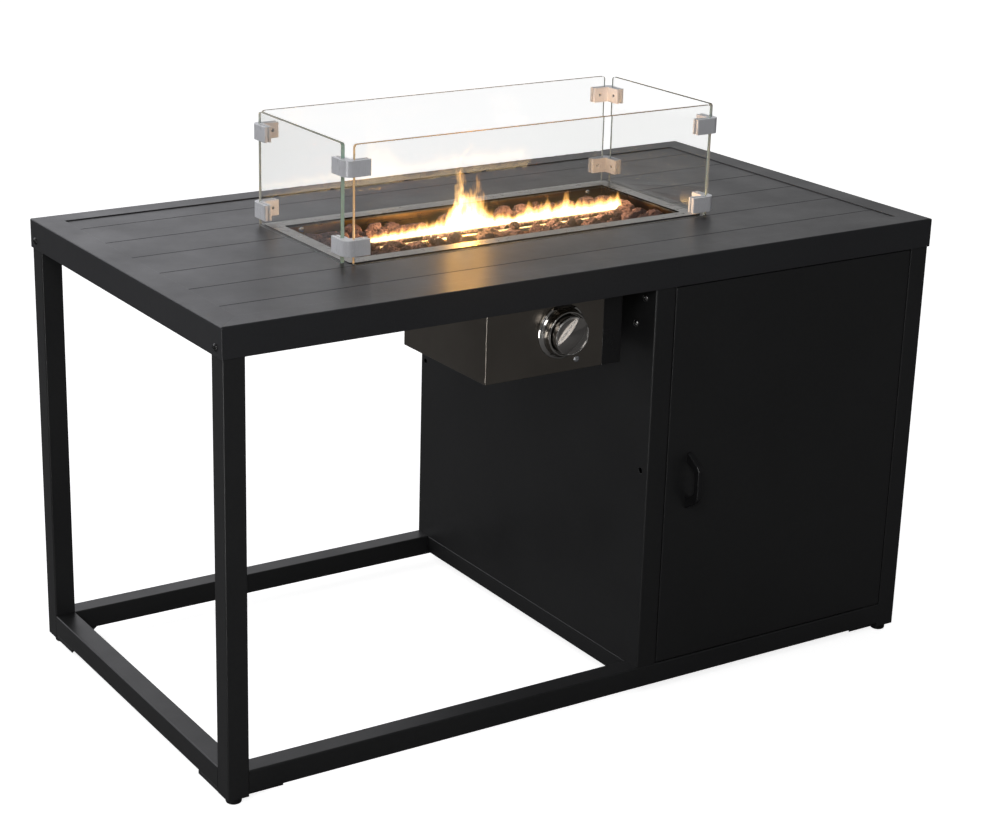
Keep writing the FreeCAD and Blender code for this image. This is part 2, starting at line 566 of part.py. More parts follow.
# Valve: bored block behind the box's front wall.
VY0, VY1 = BOX_Y0 + BOX_SHEET, -206.0
s = rbox(KNOB_X - 23, VY0 + 12, KNOB_Z - 20, KNOB_X + 23, VY1, KNOB_Z + 18, 5.0, EY)
s = s.fuse(cyl(14.0, (KNOB_X, VY0, KNOB_Z), EY, 14))
s = s.fuse(cyl(7.0, (KNOB_X, VY1 - 2, PIPE_Z), EY, 10)).removeSplitter()
s = s.cut(cyl(SPINDLE_R + 0.05, (KNOB_X, VY0 - 1, KNOB_Z), EY, -250.0 - VY0 + 1))
s = s.cut(cyl(PLUNGER_R + 0.05, (KNOB_X, -251.0, KNOB_Z), EY, 23.5))
s = s.cut(cyl(5.05, (KNOB_X, VY1 + 2, PIPE_Z), EY, 10))
s = s.cut(cyl(5.05, (INLET_X, VY1 - 10, KNOB_Z), EY, 14))
put("gas_valve", s)

# Plunger inside the valve: pressed by the spindle.
put("valve_plunger", cyl(PLUNGER_R, (KNOB_X, -256.0, KNOB_Z), EY, 22.0))

# Spindle: turns and presses with the knob; a flat drives the knob.
sp0, sp1, flat_z = KNOB_FACE + 10.0, -256.0, KNOB_Z + 2.6
s = cyl(SPINDLE_R, (KNOB_X, sp0, KNOB_Z), EY, sp1 - sp0)
s = s.cut(box(KNOB_X - 6, sp0 - 1, flat_z, KNOB_X + 6, sp0 + 15.0, flat_z + 6))
put("valve_spindle", s)

# Gas pipe from the valve, through the box's back wall, up into the spud.
pr = 5.0
pz, py1, pr_b = PIPE_Z, BY, 22.0
p0 = V(KNOB_X, VY1 + 2.2, pz)
p1 = V(KNOB_X, py1 - pr_b, pz)
p2 = V(KNOB_X, py1, pz + pr_b)
p3 = V(KNOB_X, py1, 625.8)
mid = V(KNOB_X, py1 - pr_b + pr_b * math.sin(math.pi / 4), pz + pr_b - pr_b * math.cos(math.pi / 4))
path = Part.Wire([Part.makeLine(p0, p1), Part.Arc(p1, mid, p2).toShape(), Part.makeLine(p2, p3)])
ring = Part.Wire([Part.makeCircle(pr, p0, EY)])
pipe = path.makePipeShell([ring], True, True)
s = pipe.fuse(hexagon((KNOB_X, VY1 + 9.0, pz), EY, EX, 15.0, 9.0))
s = s.fuse(hexagon((KNOB_X, py1, 612.5), EZ, EX, 15.0, 7.0)).removeSplitter()
put("gas_pipe", s)

# Gas inlet: stub from the valve through the box's back wall, lock nuts and
# a hose tail pointing to the rear.
TAIL_R = 4.5
gy = VY1 - 9.6
s = cyl(4.9, (INLET_X, gy, KNOB_Z), EY, BOX_Y1 + 6 - gy)
s = s.fuse(cyl(6.0, (INLET_X, BOX_Y1 - 7, KNOB_Z), EY, 11.0))
s = s.fuse(hexagon((INLET_X, BOX_Y1 - q - 5.0, KNOB_Z), EY, EX, 17.0, 5.0))
s = s.fuse(hexagon((INLET_X, BOX_Y1, KNOB_Z), EY, EX, 17.0, 6.0))
s = s.fuse(cyl(TAIL_R, (INLET_X, BOX_Y1 + 5, KNOB_Z), EY, 21.0))
s = s.fuse(Part.makeCone(5.3, TAIL_R, 3.0, V(INLET_X, BOX_Y1 + 8.5, KNOB_Z), EY)).removeSplitter()
s = s.cut(cyl(2.6, (INLET_X, gy - 5, KNOB_Z), EY, 220))
put("gas_inlet", s)

# Knob bezel: chromed ring on the box front that flares out from a collar.
prof = [(10.0, 0), (40.0, 0), (40.0, 1.0), (39.2, 2.0), (36.8, 3.2), (34.9, 5.2), (33.7, 8.2), (33.0, 11.6),
        (32.7, 14.8), (32.1, 16.1), (31.0, 16.6), (30.0, 16.2), (29.5, 15.0), (29.5, 4.0), (10.0, 4.0)]
put("knob_bezel", revolve(prof, (KNOB_X, BOX_Y0, KNOB_Z), -EY, EX))

# Knob: a turned cylinder with a domed face, hollowed out either side of a
# grip bar.
kr, kd = KNOB_R, KNOB_DEPTH
rim_at = kd - KNOB_DOME
prof = [(0, 0), (kr - 1.6, 0), (kr - 0.5, 0.5), (kr, 1.6), (kr, rim_at - 1.2), (kr - 0.4, rim_at - 0.3),
        (kr - 1.2, rim_at), (0, rim_at)]
s = revolve(prof, (KNOB_X, KNOB_FACE + kd, KNOB_Z), -EY, EX)
cap_r = ((kr - 1.2) ** 2 + KNOB_DOME ** 2) / (2 * KNOB_DOME)
dome = Part.makeSphere(cap_r, V(KNOB_X, KNOB_FACE + cap_r, KNOB_Z))
dome = dome.common(cyl(kr - 1.2, (KNOB_X, KNOB_FACE + KNOB_DOME + 1.0, KNOB_Z), -EY, KNOB_DOME + 3.0))
s = s.fuse(dome).removeSplitter()
ang = math.radians(KNOB_TILT)
ux, uz = math.cos(ang), math.sin(ang)      # along the bar
nx, nz = -uz, ux                           # across the bar
disc = cyl(kr - 1.9, (KNOB_X, KNOB_FACE + POCKET, KNOB_Z), -EY, POCKET + 3.0)
slab = box(-40, -5, -BAR_HALF, 40, 20, BAR_HALF)
slab.rotate(V(0, 0, 0), EY, -KNOB_TILT)
slab.translate(V(KNOB_X, KNOB_FACE, KNOB_Z))
for half in disc.cut(slab).Solids:
    floor_edges = [e for e in half.Edges if abs(e.CenterOfMass.y - (KNOB_FACE + POCKET)) < 0.01]
    s = s.cut(half.makeFillet(1.2, floor_edges))
bore = cyl(SPINDLE_R + 0.02, (KNOB_X, sp0, KNOB_Z), EY, 20)
s = s.cut(bore.cut(box(KNOB_X - 6, sp0 - 1, flat_z + 0.02, KNOB_X + 6, sp0 + 30, flat_z + 6)))
put("knob", s)


# ----------------------------------------------------------------- wind guard
def pane(x0, y0, x1, y1, thin):
    zb = Z_SLAT
    s = box(x0, y0, zb, x1, y1, zb + GLASS_H)
    s = s.makeFillet(4.5, edges_along(s, thin, lambda m: m.z > zb + 10))
    s = s.makeFillet(2.0, edges_along(s, thin, lambda m: m.z < zb + 0.01))
    faces_e = [e for e in s.Edges if abs(abs(e.CenterOfMass.dot(thin) - (x0 + x1) / 2 * thin.x
                                              - (y0 + y1) / 2 * thin.y) - GLASS_T / 2) < 0.01]
    return s.makeFillet(0.5, faces_e)


gx, gy = GUARD_X, GUARD_Y
fl, fr, rl, rr = (GUARD_CORNERS[k] for k in ((-1, -1), (1, -1), (-1, 1), (1, 1)))
put("glass_front", pane(BX - gx + fl[0], BY - gy, BX + gx - fr[0], BY - gy + GLASS_T, EY))
put("glass_rear", pane(BX - gx + rl[0], BY + gy - GLASS_T, BX + gx - rr[0], BY + gy, EY))
put("glass_left", pane(BX - gx, BY - gy + fl[1], BX - gx + GLASS_T, BY + gy - rl[1], EX))
put("glass_right", pane(BX + gx - GLASS_T, BY - gy + fr[1], BX + gx, BY + gy - rr[1], EX))


# Corner clamp: an extruded corner with a slot each way for the two panes.
def clamp(z, ix, iy):
    # corner point of the guard's outer faces at (0, 0), wings along +X and +Y
    o, w = CLAMP_OUT, CLAMP_W
    i = CLAMP_SLOT + CLAMP_IN
    s = box(-o, -o, 0, w, i, CLAMP_H).fuse(box(-o, -o, 0, i, w, CLAMP_H)).removeSplitter()
    s = rounded(s, 12.0, edges_along(s, EZ, lambda m: m.x < -o + 0.01 and m.y < -o + 0.01))
    s = rounded(s, 1.6, edges_along(s, EZ, lambda m: (m.x > w - 0.01 or m.y > w - 0.01)))
    s = s.cut(box(ix - 0.2, 0.0, -1, w + 5, CLAMP_SLOT, CLAMP_H + 1))
    s = s.cut(box(0.0, iy - 0.2, -1, CLAMP_SLOT, w + 5, CLAMP_H + 1))
    for d in (0, 1):
        p = (26.0, CLAMP_SLOT - 0.2, CLAMP_H / 2) if d == 0 else (CLAMP_SLOT - 0.2, 26.0, CLAMP_H / 2)
        s = s.cut(cyl(2.55, p, EY if d == 0 else EX, CLAMP_IN + 2))
    s.translate(V(0, 0, z))
    return s


def grub(d, z):
    # socket set screw: its tip presses the inside of the glass
    ax = EY if d == 0 else EX
    p = (26.0, GLASS_T, z + CLAMP_H / 2) if d == 0 else (GLASS_T, 26.0, z + CLAMP_H / 2)
    s = cyl(2.5, p, ax, CLAMP_SLOT + CLAMP_IN - GLASS_T - 0.6)
    end = V(*p) + ax * (CLAMP_SLOT + CLAMP_IN - GLASS_T - 0.6)
    sock = hexagon((end.x - ax.x * 2.0, end.y - ax.y * 2.0, end.z), ax, EZ, 2.5, 3.0)
    return s.cut(sock)


def to_corner(s, sx, sy):
    s = s.copy()
    if sx < 0 and sy > 0:
        s = mirror_y(s)
    elif sx > 0 and sy < 0:
        s = mirror_x(s)
    elif sx > 0 and sy > 0:
        s = mirror_x(mirror_y(s))
    s.translate(V(BX + sx * gx, BY + sy * gy, 0))
    return s


clamps, grubs = [], []
for (sx, sy), (ix, iy, low, high) in GUARD_CORNERS.items():
    for zz in (Z_SLAT + low, Z_SLAT + high):
        clamps.append(to_corner(clamp(zz, ix, iy), sx, sy))
        for d in (0, 1):
            grubs.append(to_corner(grub(d, zz), sx, sy))
put("glass_clamps", clamps)
put("clamp_grub_screws", grubs)


# ------------------------------------------------------------------ fasteners
def button_bolt(p, axis, ref, head_r, head_h, r, length):
    # domed head outside the surface at p, shank going the other way
    prof = [(0, -length), (r, -length), (r, 0), (head_r, 0), (head_r, 0.5), (head_r * 0.86, head_h * 0.62),
            (head_r * 0.55, head_h * 0.93), (head_r * 0.45, head_h), (0, head_h)]
    s = revolve(prof, p, axis, ref)
    c = V(*p) + axis * (head_h - 1.4)
    return s.cut(hexagon((c.x, c.y, c.z), axis, ref, r * 1.15, 3.0))


bolts = [button_bolt((sx * L / 2, sy * BOLT_Y, BOLT_Z), EX * sx, EZ, 5.5, BOLT_HEAD, BOLT_R, 14.0)
         for sx in (-1, 1) for sy in (-1, 1)]
bolts += [button_bolt((CAB_X0, y, z), -EX, EZ, 5.5, BOLT_HEAD, BOLT_R, 5.5) for y, z in PANEL_BOLTS]
put("frame_bolts", bolts)

screws = []
for x, sy in TRAY_SCREWS:
    screws.append(button_bolt((x, BY + sy * TRAY_IY, 671.0), -EY * sy, EZ, 4.6, 2.4, 2.4, 7.0))
screws.append(button_bolt((BOX_SCREW[0], BOX_Y0, BOX_SCREW[1]), -EY, EZ, 5.0, 2.6, 2.0, 6.0))
put("small_screws", screws)

# --------------------------------------------------------------------- report
lo = [min(getattr(b, a) for _, _, b, _ in made) for a in ("XMin", "YMin", "ZMin")]
hi = [max(getattr(b, a) for _, _, b, _ in made) for a in ("XMax", "YMax", "ZMax")]
print("pieces", len(made), "solids", sum(n for _, n, _, _ in made), "y shift", round(YS, 3))
print("box", [round(v, 3) for v in lo], [round(v, 3) for v in hi])
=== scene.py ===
import bpy
import bmesh
import math
import random
from mathutils import Vector, Matrix, noise


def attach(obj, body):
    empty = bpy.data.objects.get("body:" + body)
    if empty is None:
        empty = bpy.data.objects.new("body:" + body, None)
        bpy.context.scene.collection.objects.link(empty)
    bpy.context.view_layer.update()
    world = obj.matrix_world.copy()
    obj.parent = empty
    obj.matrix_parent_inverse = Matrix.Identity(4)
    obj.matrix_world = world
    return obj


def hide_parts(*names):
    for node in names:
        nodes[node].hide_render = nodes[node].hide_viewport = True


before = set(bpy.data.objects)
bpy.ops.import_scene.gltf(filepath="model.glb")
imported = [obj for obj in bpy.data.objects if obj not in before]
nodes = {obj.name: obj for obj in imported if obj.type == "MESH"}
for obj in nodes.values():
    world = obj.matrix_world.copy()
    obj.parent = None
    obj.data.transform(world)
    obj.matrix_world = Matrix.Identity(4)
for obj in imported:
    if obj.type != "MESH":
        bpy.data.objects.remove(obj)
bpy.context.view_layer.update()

# Fire pit table: finishes, lava rocks and flames on
# the CAD frame.  Metres, +X along the table, -Y to the front, +Z up.


YS = 0.0136                  # the table top's middle lies this far behind the origin
ZS = 0.003                   # and the frame this far above its own levels
sc = bpy.context.scene
col = sc.collection

# ------------------------------------------------------------------ materials


class Mat:
    """A small helper round one node material."""

    def __init__(self, name):
        self.m = bpy.data.materials.new(name)
        self.m.use_nodes = True
        self.t = self.m.node_tree
        self.t.nodes.clear()
        self.out = self.t.nodes.new("ShaderNodeOutputMaterial")
        self._tc = None

    def n(self, kind, **kw):
        nd = self.t.nodes.new("ShaderNode" + kind)
        ins = kw.pop("ins", {})
        for k, v in kw.items():
            setattr(nd, k, v)
        for k, v in ins.items():
            nd.inputs[k].default_value = v
        return nd

    def l(self, a, b):
        self.t.links.new(a, b)

    def obj(self):
        if self._tc is None:
            self._tc = self.n("TexCoord")
        return self._tc.outputs["Object"]

    def mapped(self, scale=(1, 1, 1), rot=(0, 0, 0)):
        mp = self.n("Mapping")
        mp.inputs["Scale"].default_value = scale
        mp.inputs["Rotation"].default_value = rot
        self.l(self.obj(), mp.inputs["Vector"])
        return mp.outputs["Vector"]

    def noise(self, scale, detail=2.0, rough=0.5, vec=None, distort=0.0):
        nd = self.n("TexNoise")
        nd.inputs["Scale"].default_value = scale
        nd.inputs["Detail"].default_value = detail
        nd.inputs["Roughness"].default_value = rough
        nd.inputs["Distortion"].default_value = distort
        self.l(vec if vec is not None else self.obj(), nd.inputs["Vector"])
        return nd.outputs["Fac"]

    def ramp(self, fac, stops, interp="LINEAR"):
        nd = self.n("ValToRGB")
        cr = nd.color_ramp
        cr.interpolation = interp
        while len(cr.elements) > 1:
            cr.elements.remove(cr.elements[-1])
        cr.elements[0].position = stops[0][0]
        cr.elements[0].color = self.rgba(stops[0][1])
        for p, c in stops[1:]:
            e = cr.elements.new(p)
            e.color = self.rgba(c)
        self.l(fac, nd.inputs["Fac"])
        return nd.outputs["Color"]

    @staticmethod
    def rgba(c):
        if isinstance(c, (int, float)):
            return (c, c, c, 1.0)
        return (c[0], c[1], c[2], 1.0)

    def rng(self, fac, a, b, lo=0.0, hi=1.0):
        nd = self.n("MapRange")
        nd.inputs["From Min"].default_value = lo
        nd.inputs["From Max"].default_value = hi
        nd.inputs["To Min"].default_value = a
        nd.inputs["To Max"].default_value = b
        self.l(fac, nd.inputs["Value"])
        return nd.outputs["Result"]

    def math(self, op, a, b=None, clamp=False):
        nd = self.n("Math", operation=op, use_clamp=clamp)
        for i, v in enumerate((a, b)):
            if v is None:
                continue
            if isinstance(v, (int, float)):
                nd.inputs[i].default_value = v
            else:
                self.l(v, nd.inputs[i])
        return nd.outputs["Value"]

    def mix(self, fac, a, b, blend="MIX"):
        nd = self.n("Mix", data_type="RGBA", blend_type=blend)
        for i, v in ((0, fac), (6, a), (7, b)):
            if isinstance(v, (int, float)) and i == 0:
                nd.inputs[0].default_value = v
            elif isinstance(v, tuple) or isinstance(v, (int, float)):
                nd.inputs[i].default_value = self.rgba(v)
            else:
                self.l(v, nd.inputs[i])
        return nd.outputs[2]

    def bump(self, height, strength, distance, normal=None):
        nd = self.n("Bump")
        nd.inputs["Strength"].default_value = strength
        nd.inputs["Distance"].default_value = distance
        self.l(height, nd.inputs["Height"])
        if normal is not None:
            self.l(normal, nd.inputs["Normal"])
        return nd.outputs["Normal"]

    def bevel(self, radius, samples=4):
        nd = self.n("Bevel", samples=samples)
        nd.inputs["Radius"].default_value = radius
        return nd.outputs["Normal"]

    def edge_mask(self, radius, lo=0.02, hi=0.25):
        """1 near sharp edges, 0 on open faces."""
        b = self.bevel(radius)
        g = self.n("NewGeometry").outputs["Normal"]
        dot = self.n("VectorMath", operation="DOT_PRODUCT")
        self.l(b, dot.inputs[0])
        self.l(g, dot.inputs[1])
        inv = self.math("SUBTRACT", 1.0, dot.outputs["Value"], clamp=True)
        return self.rng(inv, 0.0, 1.0, lo, hi), b

    def principled(self, **ins):
        nd = self.n("BsdfPrincipled")
        for k, v in ins.items():
            nd.inputs[k.replace("_", " ")].default_value = v
        self.l(nd.outputs["BSDF"], self.out.inputs["Surface"])
        return nd


def powder_coat(name, dark, light, rough, streak=None, peel=0.10, edge_wear_and_highlight=0.5):
    m = Mat(name)
    p = m.principled(IOR=1.5)
    p.inputs["Specular IOR Level"].default_value = 0.5
    mask, bn = m.edge_mask(0.0012)
    big = m.noise(3.2, 4.0, 0.6)
    fine = m.noise(260.0, 2.0, 0.6)
    c = m.ramp(big, [(0.30, dark), (0.72, light)])
    c = m.mix(m.rng(fine, 0.0, 0.35, 0.35, 0.75), c, tuple(v * 1.35 for v in light))
    # edges lighter: edge wear together with a painted highlight along them
    c = m.mix(m.math("MULTIPLY", mask, edge_wear_and_highlight), c, tuple(v * 2.4 + 0.01 for v in light))
    m.l(c, p.inputs["Base Color"])
    r = m.rng(m.noise(9.0, 5.0, 0.65), rough - 0.05, rough + 0.06, 0.3, 0.7)
    if streak:
        s = m.noise(1.0, 6.0, 0.7, m.mapped(streak))
        r = m.math("ADD", r, m.rng(s, -0.05, 0.06, 0.3, 0.7))
    m.l(r, p.inputs["Roughness"])
    peel_h = m.math("ADD", m.noise(900.0, 2.0, 0.5), m.math("MULTIPLY", m.noise(240.0, 1.0), 0.7))
    m.l(m.bump(peel_h, peel, 0.00025, bn), p.inputs["Normal"])
    return m.m


def metal(name, color, rough, grain=None, grain_amt=0.08, bump=0.05, tint=None, edge_wear_and_highlight=0.3, aniso=0.0, cast=None,
          metallic=1.0, bevel=0.0006, heat=None, grain_col=0.0, painted_gap_shade_z=None, painted_white_edges=0.0, painted_shade_rear=None):
    m = Mat(name)
    p = m.principled(Metallic=metallic)
    if aniso:
        p.inputs["Anisotropic"].default_value = aniso
    mask, bn = m.edge_mask(bevel)
    c = m.ramp(m.noise(14.0, 4.0, 0.6), [(0.3, tuple(v * 0.86 for v in color)), (0.7, color)])
    if tint:
        c = m.mix(m.rng(m.noise(22.0, 3.0, 0.6), 0.0, 0.6, 0.45, 0.7), c, tint)
    if grain_col:
        gc = m.noise(1.0, 4.0, 0.7, m.mapped(grain))
        c = m.mix(m.rng(gc, 0.0, grain_col, 0.35, 0.65), c, tuple(v * 0.5 for v in color))
    if heat:                       # colours below a level inside the tray: an orange-brown mottle, dark brown to the right of x 0.02-0.20, brown at the far left: (z, colour, colour, colour, colour)
        sz = m.n("SeparateXYZ")
        m.l(m.obj(), sz.inputs[0])
        hc = m.mix(m.rng(m.noise(16.0, 3.0, 0.6), 0.0, 1.0, 0.38, 0.62), heat[1], heat[2])
        hc = m.mix(m.rng(sz.outputs[0], 0.0, 0.85, 0.02, 0.20), hc, heat[3])
        hc = m.mix(m.rng(sz.outputs[0], 0.75, 0.0, -0.27, -0.25), hc, heat[4])
        c = m.mix(m.rng(sz.outputs[2], 1.0, 0.0, heat[0] - 0.0015, heat[0] + 0.0005), c, hc)
    if painted_gap_shade_z:                        # painted shade: upright faces above a level made near black, as a dark shadow line along the flange's edge
        sr = m.n("SeparateXYZ")
        m.l(m.obj(), sr.inputs[0])
        sn = m.n("SeparateXYZ")
        m.l(m.n("NewGeometry").outputs["True Normal"], sn.inputs[0])
        upright = m.math("LESS_THAN", m.math("ABSOLUTE", sn.outputs[2]), 0.55)
        above = m.math("GREATER_THAN", sr.outputs[2], painted_gap_shade_z)
        c = m.mix(m.math("MULTIPLY", upright, above), c, (0.015, 0.014, 0.013))
    if painted_shade_rear:                       # painted shade: darker at the right rear, below a level: (x, y, z, colour)
        sd = m.n("SeparateXYZ")
        m.l(m.obj(), sd.inputs[0])
        rear = m.math("MULTIPLY", m.math("GREATER_THAN", sd.outputs[0], painted_shade_rear[0]),
                      m.math("GREATER_THAN", sd.outputs[1], painted_shade_rear[1]))
        c = m.mix(m.math("MULTIPLY", rear, m.math("LESS_THAN", sd.outputs[2], painted_shade_rear[2])), c, painted_shade_rear[3])
    # edges lighter: edge wear together with a painted highlight along them
    c = m.mix(m.math("MULTIPLY", mask, edge_wear_and_highlight), c, tuple(min(1.0, v * 1.25 + 0.05) for v in color))
    if painted_white_edges:                # painted highlight: edges pale and less metallic, so they look lit from all sides
        white_edge_mix = m.math("MULTIPLY", mask, painted_white_edges, clamp=True)
        c = m.mix(white_edge_mix, c, (0.90, 0.89, 0.87))
        m.l(m.math("MULTIPLY", m.math("SUBTRACT", 1.0, white_edge_mix), metallic), p.inputs["Metallic"])
    m.l(c, p.inputs["Base Color"])
    r = m.rng(m.noise(40.0, 4.0, 0.6), rough - 0.04, rough + 0.05, 0.3, 0.7)
    if grain:
        g = m.noise(1.0, 5.0, 0.75, m.mapped(grain))
        r = m.math("ADD", r, m.rng(g, -grain_amt, grain_amt, 0.3, 0.7))
        h = m.bump(g, bump, 0.0002, bn)
    else:
        h = m.bump(m.noise(1400.0 if cast is None else cast, 3.0, 0.6), bump, 0.0002, bn)
    m.l(m.math("MAXIMUM", r, 0.04), p.inputs["Roughness"])
    m.l(h, p.inputs["Normal"])
    return m.m


def plastic(name, color, rough, grain=1500.0, bump=0.25):
    m = Mat(name)
    p = m.principled(IOR=1.48)
    mask, bn = m.edge_mask(0.0008)
    c = m.ramp(m.noise(30.0, 3.0), [(0.3, tuple(v * 0.85 for v in color)), (0.7, color)])
    # edges lighter: edge wear together with a painted highlight along them
    c = m.mix(m.math("MULTIPLY", mask, 0.4), c, tuple(v * 1.8 + 0.008 for v in color))
    m.l(c, p.inputs["Base Color"])
    m.l(m.rng(m.noise(60.0, 3.0), rough - 0.05, rough + 0.06, 0.3, 0.7), p.inputs["Roughness"])
    m.l(m.bump(m.noise(grain, 2.0), bump, 0.0001, bn), p.inputs["Normal"])
    return m.m


coat_frame = powder_coat("coat_frame", (0.0125, 0.0127, 0.0134), (0.0178, 0.0180, 0.0188), 0.40)
coat_top = powder_coat("coat_top", (0.021, 0.0215, 0.024), (0.027, 0.0275, 0.030), 0.36, peel=0.06, edge_wear_and_highlight=0.35)
coat_panel = powder_coat("coat_panel", (0.0115, 0.0117, 0.0122), (0.0160, 0.0162, 0.0168), 0.42, peel=0.06)
coat_black = powder_coat("coat_black", (0.006, 0.006, 0.0065), (0.009, 0.009, 0.0095), 0.32, peel=0.06, edge_wear_and_highlight=0.4)
# the tray's flange edge carries a painted shadow line
steel_tray = metal("steel_tray", (0.33, 0.32, 0.30), 0.30, grain=(6.0, 420.0, 420.0), grain_amt=0.05, bump=0.05,
                   tint=(0.28, 0.26, 0.23), heat=(0.679, (0.86, 0.55, 0.21), (0.50, 0.31, 0.15),
                                                               (0.15, 0.075, 0.045), (0.40, 0.20, 0.12)), painted_gap_shade_z=0.6805)
steel_burner = metal("steel_burner", (0.62, 0.55, 0.44), 0.26, grain=(8.0, 260.0, 260.0), tint=(0.45, 0.32, 0.20))
# the box's edges carry a painted highlight
steel_box = metal("steel_box", (0.255, 0.23, 0.20), 0.21, grain=(5.0, 1400.0, 1400.0), grain_amt=0.02, bump=0.01,
                  bevel=0.0012, edge_wear_and_highlight=0.8, painted_white_edges=0.5)
zinc = metal("zinc_bright", (0.72, 0.73, 0.75), 0.24, bump=0.04)
# the lower clamp at the right rear carries a painted shade
alu_clamp = metal("alu_clamp", (0.94, 0.945, 0.985), 0.30, grain=(1100.0, 1100.0, 50.0), grain_amt=0.08, bump=0.14,
                  metallic=0.12, grain_col=0.30, painted_shade_rear=(0.15, 0.0, 0.77, (0.40, 0.41, 0.44)))
alu_pipe = metal("alu_pipe", (0.74, 0.75, 0.76), 0.30, bump=0.05)
brass = metal("brass_valve", (0.66, 0.50, 0.24), 0.30, bump=0.08, cast=500.0)
# the knob's edges carry a strong painted highlight
chrome_satin = metal("chrome_satin", (0.50, 0.475, 0.45), 0.17, grain=(260.0, 260.0, 260.0), grain_amt=0.05,
                     bump=0.06, bevel=0.0012, edge_wear_and_highlight=0.9, grain_col=0.35, painted_white_edges=1.4)
chrome_bright = metal("chrome_bright", (0.60, 0.58, 0.55), 0.07, bump=0.02)
plastic_black = plastic("plastic_black", (0.010, 0.010, 0.011), 0.38)
plastic_foot = plastic("plastic_foot", (0.008, 0.008, 0.008), 0.5, grain=700.0)
plastic_white = plastic("plastic_white", (0.62, 0.62, 0.60), 0.42)
ceramic = plastic("ceramic_white", (0.78, 0.76, 0.72), 0.30, grain=300.0, bump=0.1)


def bolt_coat():
    """Black bolts at the skirt's corners, two bright ones on the cabinet's side."""
    m = Mat("bolt_finish")
    p = m.principled()
    sx = m.n("SeparateXYZ")
    m.l(m.obj(), sx.inputs[0])
    bright = m.math("LESS_THAN", m.math("ABSOLUTE", sx.outputs[0]), 0.3)
    mask, bn = m.edge_mask(0.0005)
    n = m.noise(300.0, 3.0, 0.6)
    dark = m.ramp(n, [(0.3, (0.006, 0.006, 0.0065)), (0.7, (0.012, 0.012, 0.012))])
    steel = m.ramp(n, [(0.3, (0.17, 0.167, 0.165)), (0.7, (0.24, 0.237, 0.235))])
    m.l(m.mix(bright, dark, steel), p.inputs["Base Color"])
    m.l(bright, p.inputs["Metallic"])
    m.l(m.rng(n, 0.22, 0.36, 0.3, 0.7), p.inputs["Roughness"])
    m.l(m.bump(n, 0.05, 0.0002, bn), p.inputs["Normal"])
    return m.m


